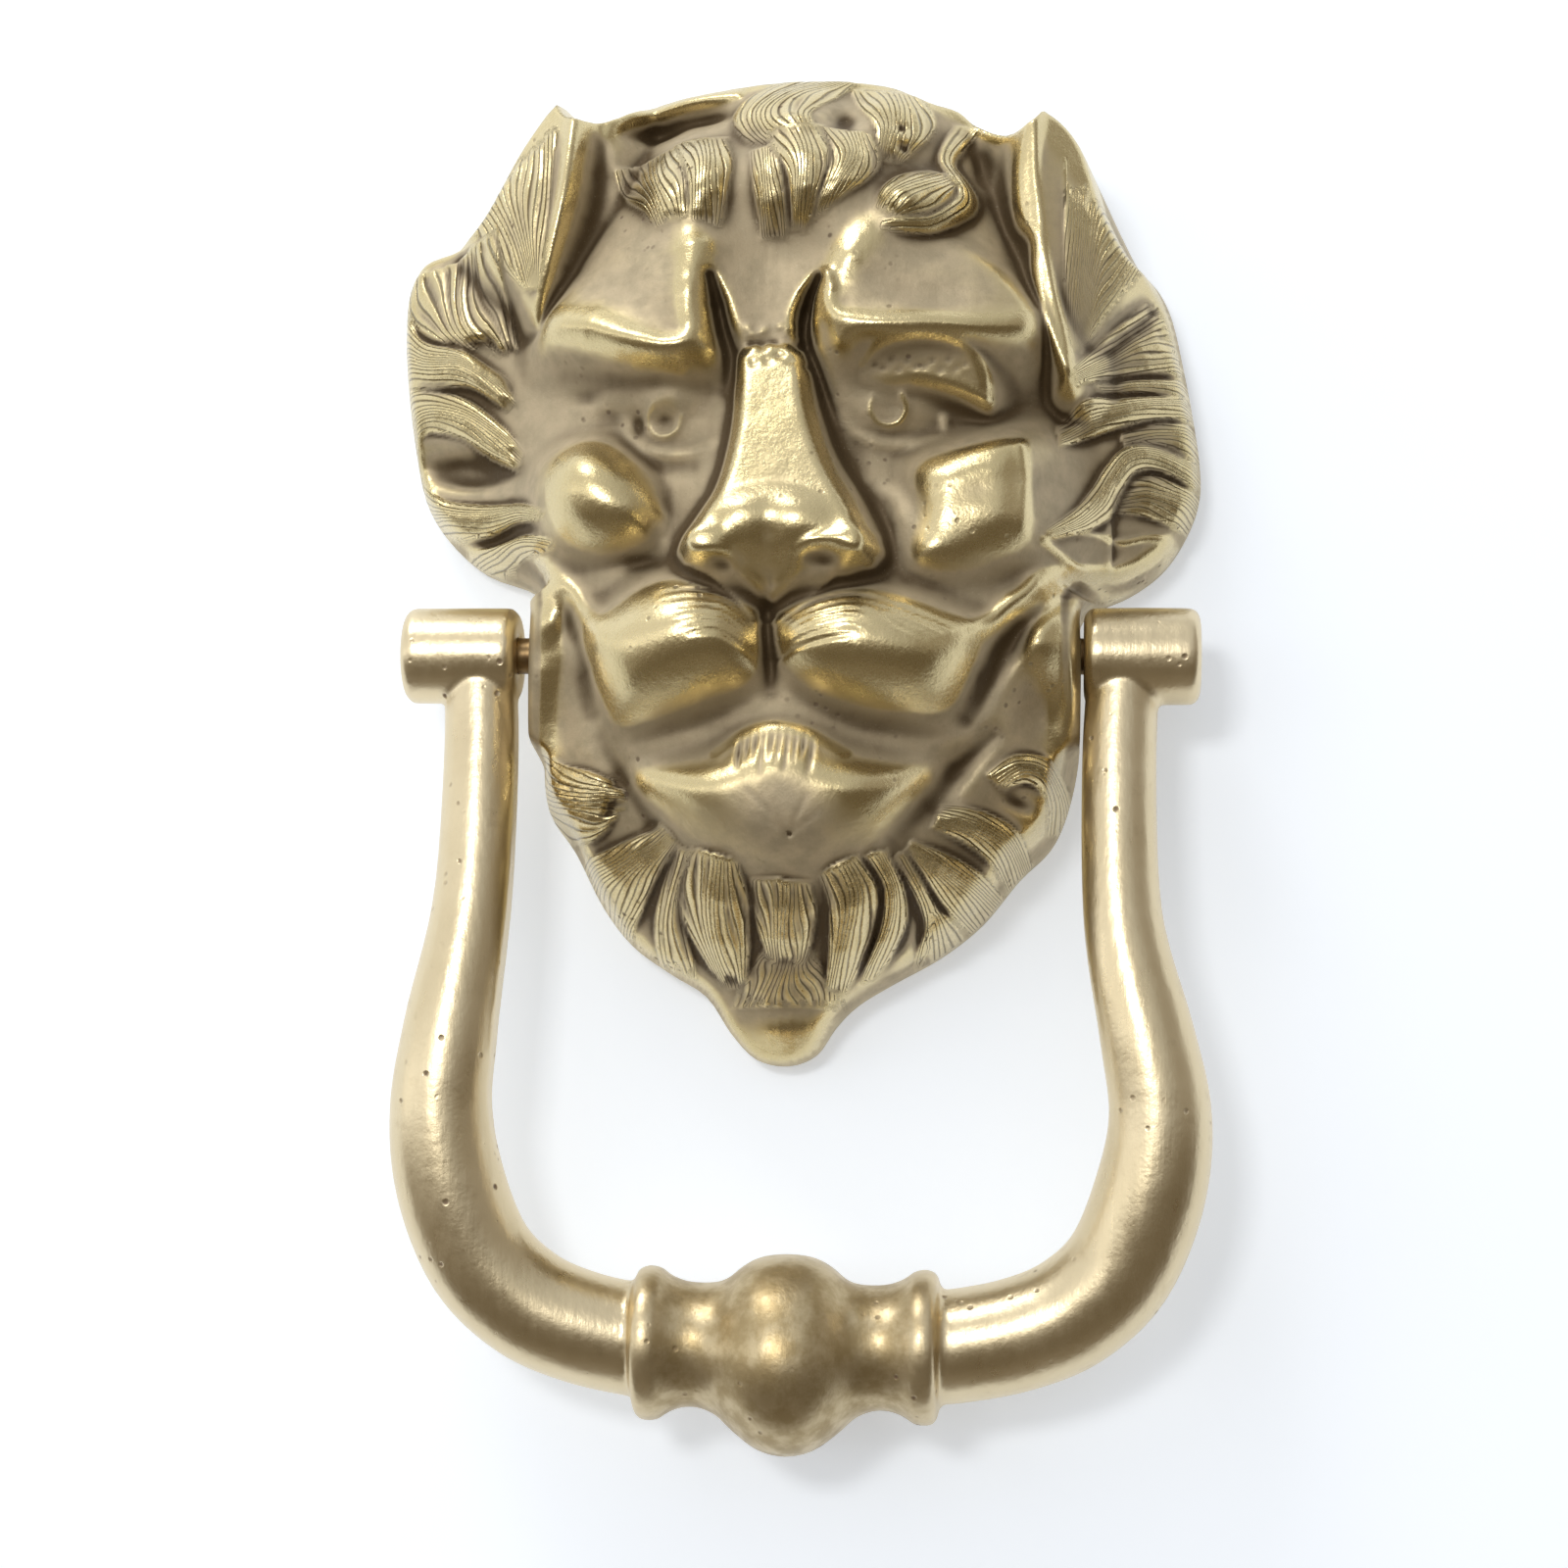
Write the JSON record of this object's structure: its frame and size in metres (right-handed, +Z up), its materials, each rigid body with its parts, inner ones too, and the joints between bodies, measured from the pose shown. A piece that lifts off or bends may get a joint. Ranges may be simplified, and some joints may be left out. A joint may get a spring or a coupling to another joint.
{
  "type": "door knocker",
  "caption": "Door knocker: a hollow cast lion mask that bolts to a door, with a heavy bail handle swinging on a rod through the cheeks and a turned ball that strikes the door.",
  "frame": {"origin": "on the door plane, half way between the two fixing holes", "axes": "+Z up the door, +Y into the door, the lion looks towards -Y"},
  "size_m": [0.1462, 0.0567, 0.2432],
  "materials": {
    "mask_brass": "polished high spots over a brown patina in the hollows",
    "handle_brass": "satin, worn smooth by hands",
    "rod_brass": "drawn rod, tarnished",
    "screw_steel": "blackened steel"
  },
  "bodies": {
    "mask": {"lion_mask": "mask_brass"},
    "handle": {"bail": "handle_brass", "pivot_rod": "rod_brass", "rod_locking_screws": "screw_steel"}
  },
  "joints": [
    {"name": "bail_swing", "type": "hinge", "parent": "mask", "child": "handle", "pos_m": [0, -0.02, -0.0152], "axis": [-1, 0, 0], "range_deg": [0, 100]}
  ]
}
